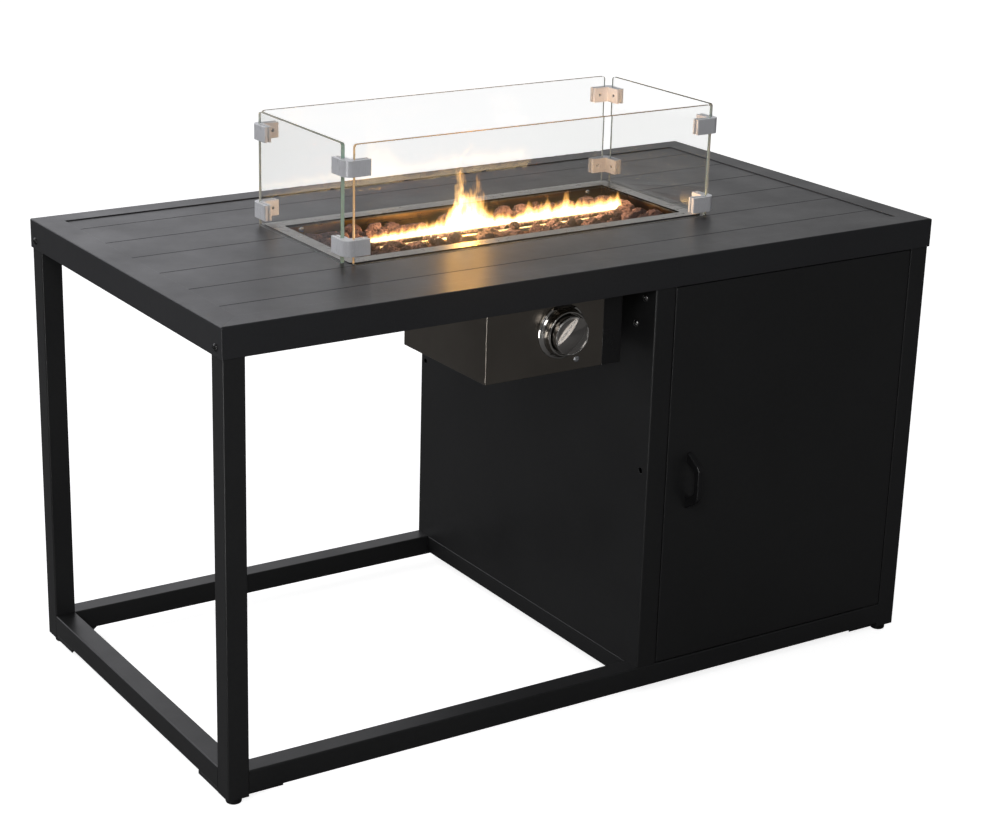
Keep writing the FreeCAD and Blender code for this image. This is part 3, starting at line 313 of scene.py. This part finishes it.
def guard_glass(name, thin, top, low, neg, pos, tilt=0.0, wave=0.0, clear=1.0):
    """Clear pane with ground edges.  thin is the pane's thin axis; top (two colours, one for
    either end), low, neg and pos are the edge colours facing up, down and to either end, with a
    painted glow of the fire's light in them; tilt leans its mirror image and wave makes it ragged."""
    m = Mat(name)
    nrm = m.n("NewGeometry").outputs["True Normal"]
    g = m.n("BsdfGlass", ins={"IOR": 1.47, "Roughness": 0.0})
    streak = m.noise(5.0, 4.0, 0.6)
    m.l(m.ramp(streak, [(0.3, tuple(v * clear for v in (0.986, 0.987, 0.984))),
                        (0.7, tuple(v * clear for v in (0.995, 0.996, 0.994)))]), g.inputs["Color"])
    if tilt:
        lean = m.n("VectorMath", operation="ADD")
        m.l(nrm, lean.inputs[0])
        lean.inputs[1].default_value = (0.0, 0.0, tilt)
        ripple = m.n("VectorMath", operation="SCALE")
        flat = m.n("VectorMath", operation="MULTIPLY")
        m.l(m.obj(), flat.inputs[0])
        flat.inputs[1].default_value = (float(thin != 0), float(thin != 1), 0.25)
        rn = m.n("TexNoise")
        rn.inputs["Scale"].default_value = 75.0
        m.l(flat.outputs[0], rn.inputs["Vector"])
        off = m.n("VectorMath", operation="SUBTRACT")
        m.l(rn.outputs["Color"], off.inputs[0])
        off.inputs[1].default_value = (0.5, 0.5, 0.5)
        m.l(off.outputs[0], ripple.inputs[0])
        ripple.inputs["Scale"].default_value = wave
        both = m.n("VectorMath", operation="ADD")
        m.l(lean.outputs[0], both.inputs[0])
        m.l(ripple.outputs[0], both.inputs[1])
        unit = m.n("VectorMath", operation="NORMALIZE")
        m.l(both.outputs[0], unit.inputs[0])
        m.l(unit.outputs[0], g.inputs["Normal"])
    sep = m.n("SeparateXYZ")
    m.l(nrm, sep.inputs[0])
    where = m.n("SeparateXYZ")
    m.l(m.obj(), where.inputs[0])
    place = where.outputs[1 - thin]
    half = 0.30 if thin else 0.12
    mid = YS if thin == 0 else 0.0
    # edge colours per face and end: a painted glow of the fire's light, amber where the fire lights an edge and grey
    # where not, with a mottle
    edge_glow_mottle = m.mix(m.math("GREATER_THAN", place, mid), neg, pos)
    along = m.rng(place, 0.0, 1.0, mid - half, mid + half)
    edge_glow_mottle = m.mix(m.math("GREATER_THAN", sep.outputs[2], 0.6), edge_glow_mottle, m.mix(along, top[0], top[1]))
    edge_glow_mottle = m.mix(m.math("LESS_THAN", sep.outputs[2], -0.6), edge_glow_mottle, low)
    edge_glow_mottle = m.mix(m.rng(m.noise(160.0, 3.0), 0.0, 0.35, 0.3, 0.7), edge_glow_mottle, (0.45, 0.47, 0.44))
    e = m.n("BsdfGlass", ins={"IOR": 1.47, "Roughness": 0.20})
    m.l(edge_glow_mottle, e.inputs["Color"])
    m.l(m.bump(m.noise(900.0, 2.0), 0.10, 0.0002), e.inputs["Normal"])
    td = m.n("BsdfTranslucent")
    m.l(edge_glow_mottle, td.inputs["Color"])
    dd = m.n("BsdfDiffuse")
    m.l(edge_glow_mottle, dd.inputs["Color"])
    e1 = m.n("MixShader", ins={0: 0.35})
    m.l(td.outputs[0], e1.inputs[1])
    m.l(dd.outputs[0], e1.inputs[2])
    e2 = m.n("MixShader", ins={0: 0.62})
    m.l(e.outputs[0], e2.inputs[1])
    m.l(e1.outputs[0], e2.inputs[2])
    ax = m.math("ABSOLUTE", sep.outputs[thin])
    edge = m.math("LESS_THAN", ax, 0.72)
    mix = m.n("MixShader")
    m.l(edge, mix.inputs[0])
    m.l(g.outputs[0], mix.inputs[1])
    m.l(e2.outputs[0], mix.inputs[2])
    tr = m.n("BsdfTransparent", ins={"Color": (0.95, 0.955, 0.95, 1)})
    lp = m.n("LightPath")
    fac = m.math("MAXIMUM", lp.outputs["Is Shadow Ray"], lp.outputs["Is Diffuse Ray"])
    mix2 = m.n("MixShader")
    m.l(fac, mix2.inputs[0])
    m.l(mix.outputs[0], mix2.inputs[1])
    m.l(tr.outputs[0], mix2.inputs[2])
    m.l(mix2.outputs[0], m.out.inputs["Surface"])
    v = m.n("VolumeAbsorption", ins={"Color": (0.82, 0.88, 0.84, 1), "Density": 1.6})
    m.l(v.outputs[0], m.out.inputs["Volume"])
    return m.m


# edge colours; the amber one is a painted glow of the fire's light
G_GREEN, G_GREY, G_FIRE_GLOW = (0.44, 0.64, 0.54), (0.42, 0.46, 0.44), (1.0, 0.74, 0.44)
glass_f = guard_glass("guard_glass_front", 1, ((0.98, 0.74, 0.46), (0.40, 0.38, 0.34)), (0.80, 0.70, 0.55),
                      G_FIRE_GLOW, (0.46, 0.54, 0.49))
# the rear pane passes a little less light (clear): a painted shade
glass_b = guard_glass("guard_glass_rear", 1, ((0.66, 0.67, 0.66), (0.44, 0.45, 0.45)), (0.55, 0.52, 0.46),
                      G_GREY, G_GREY, -0.068, 0.026, clear=0.980)
glass_l = guard_glass("guard_glass_left", 0, ((0.52, 0.62, 0.57), (0.66, 0.70, 0.67)), (0.62, 0.62, 0.56),
                      G_GREEN, (0.66, 0.70, 0.64))
glass_r = guard_glass("guard_glass_right", 0, ((0.36, 0.40, 0.38), (0.36, 0.40, 0.38)), (0.62, 0.60, 0.55),
                      G_GREY, G_GREY, 0.070)


def lava_material():
    m = Mat("lava_stone")
    p = m.principled(IOR=1.45)
    p.inputs["Specular IOR Level"].default_value = 0.25
    a = m.noise(38.0, 6.0, 0.7)
    b = m.noise(160.0, 4.0, 0.7)
    c = m.ramp(a, [(0.25, (0.060, 0.034, 0.030)), (0.5, (0.170, 0.105, 0.092)), (0.75, (0.29, 0.195, 0.175))])
    c = m.mix(m.rng(b, 0.0, 0.8, 0.45, 0.75), c, (0.075, 0.042, 0.036))
    vo = m.n("TexVoronoi", feature="F1")
    vo.inputs["Scale"].default_value = 330.0
    m.l(m.obj(), vo.inputs["Vector"])
    # painted shade: the pores are darkened as shaded pits
    pore = m.rng(vo.outputs["Distance"], 0.0, 1.0, 0.10, 0.42)
    c = m.mix(m.math("SUBTRACT", 1.0, pore, clamp=True), c, (0.012, 0.007, 0.006))
    # painted shade: ambient occlusion darkens the colour between lumps and in crevices
    occlusion_shade = m.n("AmbientOcclusion", samples=4)
    occlusion_shade.inputs["Distance"].default_value = 0.006
    m.l(c, occlusion_shade.inputs["Color"])
    c = m.mix(0.6, c, occlusion_shade.outputs["Color"])
    m.l(c, p.inputs["Base Color"])
    m.l(m.rng(b, 0.80, 0.98, 0.3, 0.7), p.inputs["Roughness"])
    h = m.math("ADD", m.math("MULTIPLY", pore, 0.8), m.math("MULTIPLY", b, 0.6))
    m.l(m.bump(h, 1.0, 0.0030), p.inputs["Normal"])
    return m.m


lava = lava_material()

# ------------------------------------------------ finishes of the CAD pieces
finish = {}
for n in nodes:
    if n.startswith("slat_") or n.startswith("table_edge_"):
        finish[n] = coat_top
    elif n.startswith(("leg_", "base_rail_", "top_rail_", "burner_support", "corner_plates")):
        finish[n] = coat_frame
    elif n.startswith(("cabinet_", "door_panel")):
        finish[n] = coat_panel
    elif n.startswith("levelling_foot"):
        finish[n] = plastic_foot
finish.update(glass_front=glass_f, glass_rear=glass_b, glass_left=glass_l, glass_right=glass_r,
              door_handle=plastic_black, handle_screws=zinc, hinge_pivots=coat_black, door_magnet=plastic_white,
              burner_tray=steel_tray, burner_pipe=steel_burner, lava_rocks=lava, pilot_probes=ceramic,
              gas_pipe=alu_pipe, gas_valve=brass, valve_plunger=zinc, valve_spindle=brass, control_box=steel_box,
              control_box_end_cover=coat_black, knob=chrome_satin, knob_bezel=chrome_bright, gas_inlet=brass,
              glass_clamps=alu_clamp, clamp_grub_screws=zinc, frame_bolts=bolt_coat(), small_screws=zinc)
for n, o in nodes.items():
    o.data.materials.clear()
    o.data.materials.append(finish[n])


# --------------------------------------------------------------- mesh helpers
def add(name, bm, material, body="frame", smooth=True):
    me = bpy.data.meshes.new(name)
    bm.to_mesh(me)
    bm.free()
    if smooth:
        for f in me.polygons:
            f.use_smooth = True
    me.materials.append(material)
    o = bpy.data.objects.new(name, me)
    col.objects.link(o)
    if body:
        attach(o, body)
    return o


# ---------------------------------------------------------------- lava rocks
TRAY_X, TRAY_Y = 0.2855, 0.1015
FLOOR_Z = 0.6402 + ZS
rng = random.Random(7)


def rock_mesh(bm, centre, size, seed, squash):
    """A broken, pitted lump of lava."""
    r = random.Random(seed)
    tmp = bmesh.new()
    bmesh.ops.create_icosphere(tmp, subdivisions=4 if size > 0.008 else 3, radius=1.0)
    off = Vector((r.uniform(-50, 50), r.uniform(-50, 50), r.uniform(-50, 50)))
    planes = []
    for _ in range(11):
        d = Vector((r.gauss(0, 1), r.gauss(0, 1), r.gauss(0, 1))).normalized()
        planes.append((d, r.uniform(0.56, 0.90)))
    rot = Matrix.Rotation(r.uniform(0, 6.28), 3, Vector((r.gauss(0, 1), r.gauss(0, 1), r.gauss(0, 1))).normalized())
    for v in tmp.verts:
        d = v.co.normalized()
        rad = 1.0 + 0.22 * noise.noise(d * 1.4 + off)
        for pd, ph in planes:          # flat broken sides
            t = d.dot(pd)
            if t > 0.05:
                rad = min(rad, ph / t + 0.015)
        rad += 0.070 * noise.noise(d * 3.6 + off)
        rad += 0.060 * noise.noise(d * 9.0 + off)
        rad += 0.030 * noise.noise(d * 19.0 + off)
        pit = noise.noise(d * 7.5 - off)
        rad -= 0.22 * max(0.0, pit - 0.14)
        v.co = rot @ (d * rad)
        v.co.x *= size * squash[0]
        v.co.y *= size * squash[1]
        v.co.z *= size * squash[2]
        v.co += centre
    me = bpy.data.meshes.new("tmp")
    tmp.to_mesh(me)
    tmp.free()
    bm.from_mesh(me)
    bpy.data.meshes.remove(me)


def rock_bed():
    placed = []
    lim_x, lim_y = TRAY_X - 0.004, TRAY_Y - 0.004
    tries = 0
    # the lumps at the two ends, then a lower layer and smaller lumps on top
    for x, y, s in ((0.264, -0.068, 0.0195), (0.265, -0.027, 0.0180), (0.264, 0.016, 0.0190), (0.265, 0.060, 0.0185),
                    (0.232, -0.050, 0.0200), (0.229, 0.044, 0.0180), (-0.262, -0.060, 0.0200),
                    (-0.263, 0.000, 0.0185), (-0.262, 0.058, 0.0195), (-0.232, 0.036, 0.0180)):
        placed.append((x, y, FLOOR_Z + s * 0.9 + 0.006, s))
    top = 0.6765 + ZS
    for layer, (count, smin, smax, zmin, zmax) in enumerate(((54, 0.0185, 0.0245, 0.0, 0.004),
                                                            (40, 0.0140, 0.0195, 0.004, 0.014),
                                                            (26, 0.0070, 0.0110, 0.010, 0.024))):
        n = 0
        tries = 0
        while n < count and tries < 16000:
            tries += 1
            s = rng.uniform(smin, smax)
            x = rng.uniform(-lim_x + s, lim_x - s)
            y = rng.uniform(-lim_y + s, lim_y - s)
            # the burner pipe stays free
            if abs(y) < 0.0095 + s * 0.92 and abs(x) < 0.243:
                continue
            z = FLOOR_Z + s * 0.86 + rng.uniform(zmin, zmax)
            if z + s * 0.95 > top:
                z = top - s * 0.95
            ok = True
            for (px, py, pz, ps) in placed:
                d2 = (x - px) ** 2 + (y - py) ** 2 + (z - pz) ** 2
                if d2 < ((s + ps) * (0.86, 0.74, 0.70)[layer]) ** 2:
                    ok = False
                    break
            if ok:
                placed.append((x, y, z, s))
                n += 1
    # crumbs on the pipe and along its rear side, under the flames
    for i in range(120):
        s = rng.uniform(0.0034, 0.0060)
        x = rng.uniform(-0.238, 0.262)
        y = rng.uniform(0.004, 0.022)
        z = 0.6595 + ZS + s * 0.5 - max(0.0, y - 0.006) * 0.25 + rng.uniform(-0.002, 0.003)
        if all((x - q[0]) ** 2 + (y - q[1]) ** 2 + (z - q[2]) ** 2 > ((s + q[3]) * 0.66) ** 2 for q in placed):
            placed.append((x, y, z, s))
    for i in range(12):
        s = rng.uniform(0.0040, 0.0068)
        x = rng.uniform(-0.24, 0.262)
        y = rng.uniform(-0.022, -0.010)
        z = 0.652 + ZS + rng.uniform(-0.004, 0.002)
        if all((x - q[0]) ** 2 + (y - q[1]) ** 2 + (z - q[2]) ** 2 > ((s + q[3]) * 0.70) ** 2 for q in placed):
            placed.append((x, y, z, s))
    bm = bmesh.new()
    for i, (x, y, z, s) in enumerate(placed):
        sq = (rng.uniform(0.85, 1.15), rng.uniform(0.85, 1.05), rng.uniform(0.72, 0.95))
        rock_mesh(bm, Vector((x, y + YS, z)), s, 100 + i, sq)
    return bm


rocks = add("lava_rock_bed", rock_bed(), lava)
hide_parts("lava_rocks")

# --------------------------------------------------------------------- flames
# One staged block of glowing gas over the burner.  Its strength follows the
# height of the fire along the burner, drawn out into ragged leaning tips.
FIRE_PROFILE = [(-242, 0), (-232, 9), (-215, 11), (-197, 12), (-175, 14), (-154, 16), (-130, 19), (-108, 21),
                (-90, 21), (-76, 26), (-70, 34), (-64, 46), (-59, 62), (-56, 112), (-53, 138), (-50, 128), (-47, 64),
                (-44, 62), (-38, 72), (-32, 75), (-26, 66), (-19, 56), (-11, 45), (-3, 35), (8, 26), (18, 21),
                (34, 20),
                (48, 13), (62, 18), (74, 27), (84, 32), (93, 23), (103, 24), (112, 35), (122, 22), (134, 24),
                (146, 37), (158, 22), (172, 24), (186, 19), (203, 20), (216, 24), (227, 20), (238, 26), (249, 28),
                (256, 0)]
FIRE_X0, FIRE_X1, FIRE_TALL = -250.0, 270.0, 145.0
FZ = 0.6655 + ZS
FY = 0.007 + YS


def fire_material():
    m = Mat("fire")
    pos = m.n("SeparateXYZ")
    m.l(m.obj(), pos.inputs[0])
    x, y, z = pos.outputs
    h = m.math("SUBTRACT", z, FZ)
    hh = m.math("MAXIMUM", h, 0.0)
    # sway: more with height
    sway_n = m.noise(1.0, 2.0, 0.5, m.mapped((26.0, 20.0, 17.0)))
    sway = m.math("MULTIPLY", m.math("SUBTRACT", sway_n, 0.5), m.math("MULTIPLY", hh, 0.9))
    wob_n = m.noise(1.0, 3.0, 0.6, m.mapped((130.0, 60.0, 60.0)))
    wob = m.math("MULTIPLY", m.math("SUBTRACT", wob_n, 0.5), 0.012)
    u = m.math("SUBTRACT", x, m.math("MULTIPLY", hh, 0.16))
    u = m.math("ADD", m.math("ADD", u, sway), wob)
    u01 = m.rng(u, 0.0, 1.0, FIRE_X0 / 1000.0, FIRE_X1 / 1000.0)
    curve = m.n("FloatCurve")
    cv = curve.mapping.curves[0]
    pts = [((px - FIRE_X0) / (FIRE_X1 - FIRE_X0), ph / FIRE_TALL) for px, ph in FIRE_PROFILE]
    pts = [(0.0, 0.0)] + pts + [(1.0, 0.0)]
    while len(cv.points) < len(pts):
        cv.points.new(0.5, 0.5)
    for cp, (px, ph) in zip(cv.points, pts):
        cp.location = (px, ph)
        cp.handle_type = "VECTOR"
    curve.mapping.update()
    m.l(u01, curve.inputs["Value"])
    tall = m.math("MULTIPLY", curve.outputs["Value"], FIRE_TALL / 1000.0)
    # fine ragged fibres along the row
    fib = m.noise(1.0, 3.0, 0.65, m.mapped((190.0, 60.0, 26.0)))
    tall = m.math("MULTIPLY", tall, m.rng(fib, 0.62, 1.30, 0.3, 0.7))
    tall = m.math("MAXIMUM", tall, 0.0005)
    t = m.math("DIVIDE", h, tall)
    # width across the burner: narrow foot, swelling, closing to the tip
    yy = m.math("SUBTRACT", y, FY)
    yn = m.noise(1.0, 2.0, 0.5, m.mapped((40.0, 5.0, 30.0)))
    yy = m.math("ADD", yy, m.math("MULTIPLY", m.math("SUBTRACT", yn, 0.5), m.math("MULTIPLY", hh, 0.55)))
    t01 = m.math("MINIMUM", m.math("MAXIMUM", t, 0.0), 1.0)
    w = m.math("MULTIPLY", m.math("POWER", m.math("SUBTRACT", 1.0, t01), 0.6), 0.0085)
    w = m.math("ADD", m.math("MULTIPLY", w, m.rng(t01, 0.75, 1.0, 0.0, 0.2)), 0.0004)
    a = m.math("DIVIDE", m.math("ABSOLUTE", yy), w)
    body = m.rng(a, 1.0, 0.0, 0.45, 1.0)
    tip = m.rng(t, 1.0, 0.0, 0.78, 1.0)
    low = m.rng(h, 0.0, 1.0, -0.001, 0.002)
    on = m.math("MULTIPLY", m.math("MULTIPLY", body, tip), low)
    heat = m.math("ADD", t01, m.math("MULTIPLY", a, 0.25))
    s = m.ramp(m.math("MULTIPLY", heat, 0.8), [(0.0, 1.0), (0.30, 0.85), (0.50, 0.42), (0.72, 0.17), (1.0, 0.06)])
    streak = m.noise(1.0, 3.0, 0.6, m.mapped((240.0, 90.0, 18.0)))
    s = m.math("MULTIPLY", s, m.rng(streak, 0.45, 1.5, 0.3, 0.7))
    # the slim lick beside the main flame is thin and faint
    lick = m.math("MULTIPLY", m.rng(u, 1.0, 0.0, -0.0490, -0.0455), m.rng(h, 0.0, 0.42, 0.040, 0.062))
    s = m.math("MULTIPLY", s, m.math("SUBTRACT", 1.0, lick))
    strength = m.math("MULTIPLY", m.math("MULTIPLY", s, on), 520.0)
    e = m.n("Emission")
    m.l(m.ramp(m.math("MULTIPLY", heat, 0.8), [(0.0, (1.0, 0.80, 0.46)), (0.35, (1.0, 0.66, 0.26)),
                                               (0.62, (1.0, 0.50, 0.12)), (1.0, (1.0, 0.34, 0.05))]), e.inputs["Color"])
    m.l(strength, e.inputs["Strength"])
    m.l(e.outputs[0], m.out.inputs["Volume"])
    m.m.cycles.volume_step_rate = 0.06
    return m.m


bm = bmesh.new()
bmesh.ops.create_cube(bm, size=1.0)
for v in bm.verts:
    v.co = Vector((0.009 + v.co.x * 0.522, FY + v.co.y * 0.060, FZ - 0.002 + (v.co.z + 0.5) * 0.150))
fire = add("fire_glow", bm, fire_material(), body=None, smooth=False)
fire.visible_shadow = False

# ------------------------------------------------------------ floor and lights
bm = bmesh.new()
bmesh.ops.create_grid(bm, x_segments=1, y_segments=1, size=30.0)
fm = Mat("pale_floor")
fd = fm.n("BsdfDiffuse")
flp = fm.n("LightPath")
seen = fm.math("MAXIMUM", flp.outputs["Is Camera Ray"], flp.outputs["Is Transmission Ray"])
direct = fm.math("LESS_THAN", fm.math("ADD", flp.outputs["Glossy Depth"], flp.outputs["Diffuse Depth"]), 0.5)
seen = fm.math("MULTIPLY", seen, direct)
fm.l(fm.mix(seen, (0.22, 0.22, 0.22), (0.80, 0.80, 0.80)), fd.inputs["Color"])
fe = fm.n("Emission", ins={"Color": (1, 1, 1, 1)})
fm.l(fm.math("MULTIPLY", seen, 0.84), fe.inputs["Strength"])
fa = fm.n("AddShader")
fm.l(fd.outputs[0], fa.inputs[0])
fm.l(fe.outputs[0], fa.inputs[1])
fm.l(fa.outputs[0], fm.out.inputs["Surface"])
floor = add("floor", bm, fm.m, body=None, smooth=False)

world = bpy.data.worlds.new("studio")
sc.world = world
world.use_nodes = True
wt = world.node_tree
wt.nodes.clear()
wo = wt.nodes.new("ShaderNodeOutputWorld")
wtc = wt.nodes.new("ShaderNodeTexCoord")
wsep = wt.nodes.new("ShaderNodeSeparateXYZ")
wt.links.new(wtc.outputs["Generated"], wsep.inputs[0])
# brighter behind and to the left, darker in front
wdot = wt.nodes.new("ShaderNodeVectorMath")
wdot.operation = "DOT_PRODUCT"
wt.links.new(wtc.outputs["Generated"], wdot.inputs[0])
wdot.inputs[1].default_value = Vector((-0.17, 0.97, 0.20)).normalized()
wr = wt.nodes.new("ShaderNodeValToRGB")
wr.color_ramp.interpolation = "LINEAR"
wmap = wt.nodes.new("ShaderNodeMapRange")
wmap.inputs["From Min"].default_value = -1.0
wmap.inputs["From Max"].default_value = 1.0
wt.links.new(wdot.outputs["Value"], wmap.inputs["Value"])
wt.links.new(wmap.outputs["Result"], wr.inputs["Fac"])
cr = wr.color_ramp
cr.elements[0].position = 0.0
cr.elements[0].color = (0.11, 0.11, 0.11, 1)
cr.elements[1].position = 1.0
cr.elements[1].color = (1.35, 1.35, 1.41, 1)
for pos, v in ((0.55, 0.12), (0.75, 0.22), (0.815, 0.50), (0.85, 0.55), (0.905, 0.78), (0.94, 1.3)):
    e = cr.elements.new(pos)
    e.color = (v, v, v * (1.045 if v > 0.7 else 1.01), 1)
bg_env = wt.nodes.new("ShaderNodeBackground")
wt.links.new(wr.outputs["Color"], bg_env.inputs["Color"])
bg_cam = wt.nodes.new("ShaderNodeBackground")
bg_cam.inputs["Color"].default_value = (1, 1, 1, 1)
bg_cam.inputs["Strength"].default_value = 1.0
wlp = wt.nodes.new("ShaderNodeLightPath")
wmx = wt.nodes.new("ShaderNodeMath")
wmx.operation = "MAXIMUM"
wt.links.new(wlp.outputs["Is Camera Ray"], wmx.inputs[0])
wt.links.new(wlp.outputs["Is Transmission Ray"], wmx.inputs[1])
wmix = wt.nodes.new("ShaderNodeMixShader")
wdp = wt.nodes.new("ShaderNodeMath")
wdp.operation = "ADD"
wt.links.new(wlp.outputs["Glossy Depth"], wdp.inputs[0])
wt.links.new(wlp.outputs["Diffuse Depth"], wdp.inputs[1])
wlt = wt.nodes.new("ShaderNodeMath")
wlt.operation = "LESS_THAN"
wt.links.new(wdp.outputs[0], wlt.inputs[0])
wlt.inputs[1].default_value = 0.5
wml = wt.nodes.new("ShaderNodeMath")
wml.operation = "MULTIPLY"
wt.links.new(wmx.outputs[0], wml.inputs[0])
wt.links.new(wlt.outputs[0], wml.inputs[1])
wt.links.new(wml.outputs[0], wmix.inputs[0])
wt.links.new(bg_env.outputs[0], wmix.inputs[1])
wt.links.new(bg_cam.outputs[0], wmix.inputs[2])
wt.links.new(wmix.outputs[0], wo.inputs["Surface"])


def area(name, loc, target, sx, sy, power, color=(1, 1, 1), spread=None):
    ld = bpy.data.lights.new(name, "AREA")
    ld.shape = "RECTANGLE"
    ld.size, ld.size_y = sx, sy
    ld.energy = power
    ld.color = color
    if spread:
        ld.spread = spread
    o = bpy.data.objects.new(name, ld)
    o.location = loc
    d = Vector(target) - Vector(loc)
    o.rotation_euler = d.to_track_quat("-Z", "Y").to_euler()
    col.objects.link(o)
    return o


area("key_back_left", (-2.4, 1.6, 2.7), (0, 0, 0.6), 2.2, 1.6, 24.0)
area("soft_front_left", (-1.9, -2.7, 2.35), (-0.05, -0.3, 0.6), 1.8, 1.8, 43.0)
# the fire's own light on rocks, tray, glass and table
for i, (fx, fz, pw) in enumerate(((-0.16, 0.690, 0.50), (-0.055, 0.712, 0.75), (0.02, 0.690, 0.35),
                                  (0.10, 0.700, 0.5), (0.19, 0.700, 0.45), (0.25, 0.695, 0.25))):
    pl = bpy.data.lights.new("fire_light_%d" % i, "POINT")
    pl.energy = pw
    pl.color = (1.0, 0.62, 0.34)
    pl.shadow_soft_size = 0.012
    po = bpy.data.objects.new("fire_light_%d" % i, pl)
    po.location = (fx, FY, fz + ZS)
    po.visible_camera = False
    po.visible_glossy = False
    po.visible_transmission = False
    col.objects.link(po)

# the tall flame's glow on the polished slats in front of it
gl = area("fire_sheen", (-0.030, FY, 0.715 + ZS), (-0.030, -3.0, 0.50), 0.026, 0.090, 0.50, (1.0, 0.46, 0.05))
gl.visible_camera = gl.visible_diffuse = gl.visible_transmission = gl.visible_volume_scatter = False

# a low strip on the left, seen only in shiny bends
st = area("low_strip", (-1.35, -0.85, 0.30), (-0.30, -0.20, 0.70), 0.20, 0.60, 4.2)
st.visible_camera = st.visible_diffuse = st.visible_transmission = st.visible_volume_scatter = False

# --------------------------------------------------------------------- camera
yaw, pitch, roll = 0.5447, 0.3339, 0.0149
fwd = Vector((math.sin(yaw) * math.cos(pitch), math.cos(yaw) * math.cos(pitch), -math.sin(pitch)))
right = Vector((math.cos(yaw), -math.sin(yaw), 0.0))
up = right.cross(fwd)
r2 = right * math.cos(roll) + up * math.sin(roll)
u2 = -right * math.sin(roll) + up * math.cos(roll)
cd = bpy.data.cameras.new("camera")
cam = bpy.data.objects.new("camera", cd)
col.objects.link(cam)
mw = Matrix((r2, u2, -fwd)).transposed().to_4x4()
mw.translation = Vector((-1.77869, -2.69980 + YS, 1.48623 + ZS))
cam.matrix_world = mw
cd.sensor_width = 36.0
cd.sensor_fit = "HORIZONTAL"
cd.lens = 2206.67 * 36.0 / 1000.0
cd.shift_x = (500.0 - 401.92) / 1000.0
cd.shift_y = (414.79 - 419.5) / 1000.0
cd.clip_end = 100.0
sc.camera = cam

sc.use_nodes = True
ct = sc.node_tree
ct.nodes.clear()
c_in = ct.nodes.new("CompositorNodeRLayers")
c_gl = ct.nodes.new("CompositorNodeGlare")
c_out = ct.nodes.new("CompositorNodeComposite")
c_gl.glare_type = "FOG_GLOW"
c_gl.quality = "HIGH"
for key, val in (("Threshold", 1.6), ("Strength", 0.35), ("Size", 0.35)):
    if key in c_gl.inputs:
        c_gl.inputs[key].default_value = val
ct.links.new(c_in.outputs["Image"], c_gl.inputs["Image"])
ct.links.new(c_gl.outputs["Image"], c_out.inputs["Image"])

sc.view_settings.view_transform = "Standard"
sc.view_settings.look = "None"
sc.cycles.transparent_max_bounces = 64
sc.cycles.transmission_bounces = 16
sc.cycles.max_bounces = 16
sc.cycles.caustics_reflective = False
sc.cycles.caustics_refractive = False
